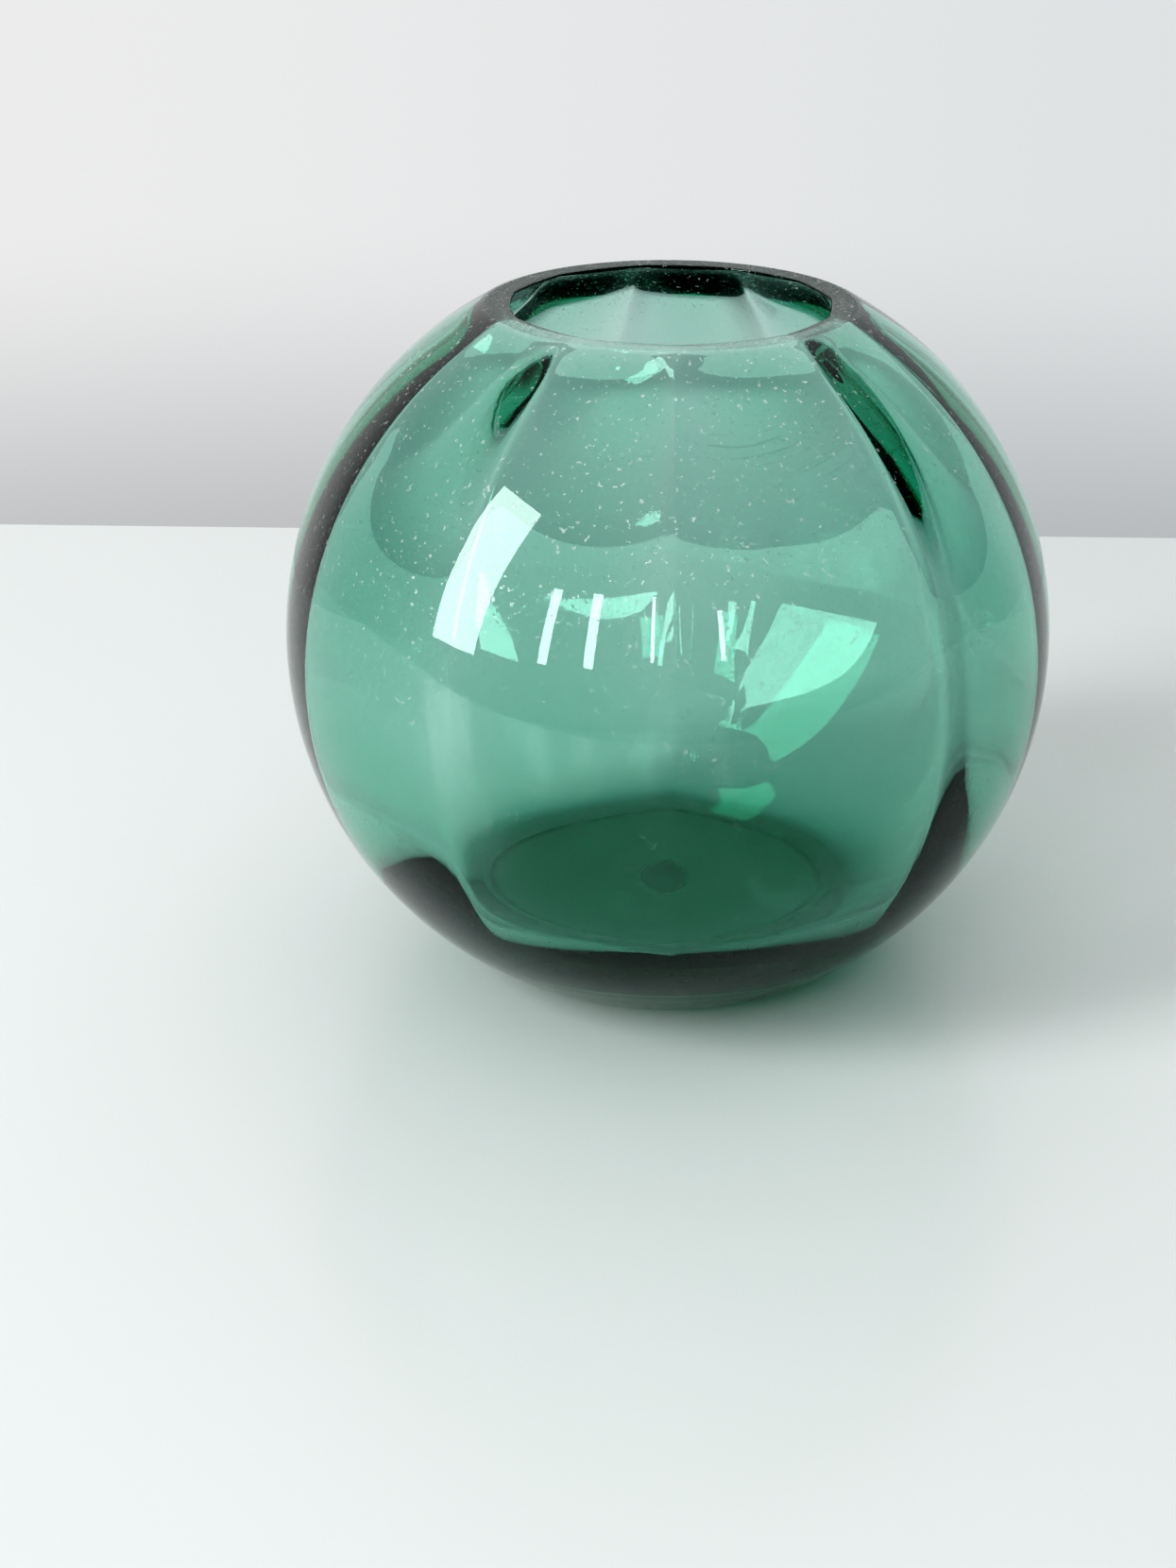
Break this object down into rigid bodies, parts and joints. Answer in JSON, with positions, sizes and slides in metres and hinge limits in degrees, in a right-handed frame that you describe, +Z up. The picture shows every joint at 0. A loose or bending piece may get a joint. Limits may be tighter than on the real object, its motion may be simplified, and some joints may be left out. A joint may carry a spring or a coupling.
{
  "type": "bud vase",
  "caption": "Ball-shaped bud vase of thick green glass, smooth outside and fluted inside, with a flat ground rim, a heavy floor and a flat foot.",
  "frame": {"origin": "centre of the foot, on the surface that the vase stands on", "axes": "+Z up out of the mouth along the globe's axis; +X and +Y are level, and -Y faces the viewer"},
  "size_m": [0.1, 0.1, 0.0883],
  "materials": {
    "green_glass": "clear, polished outside and inside; rim face and foot ground matte"
  },
  "bodies": {
    "root": {"glass_vase": "green_glass"}
  },
  "joints": []
}
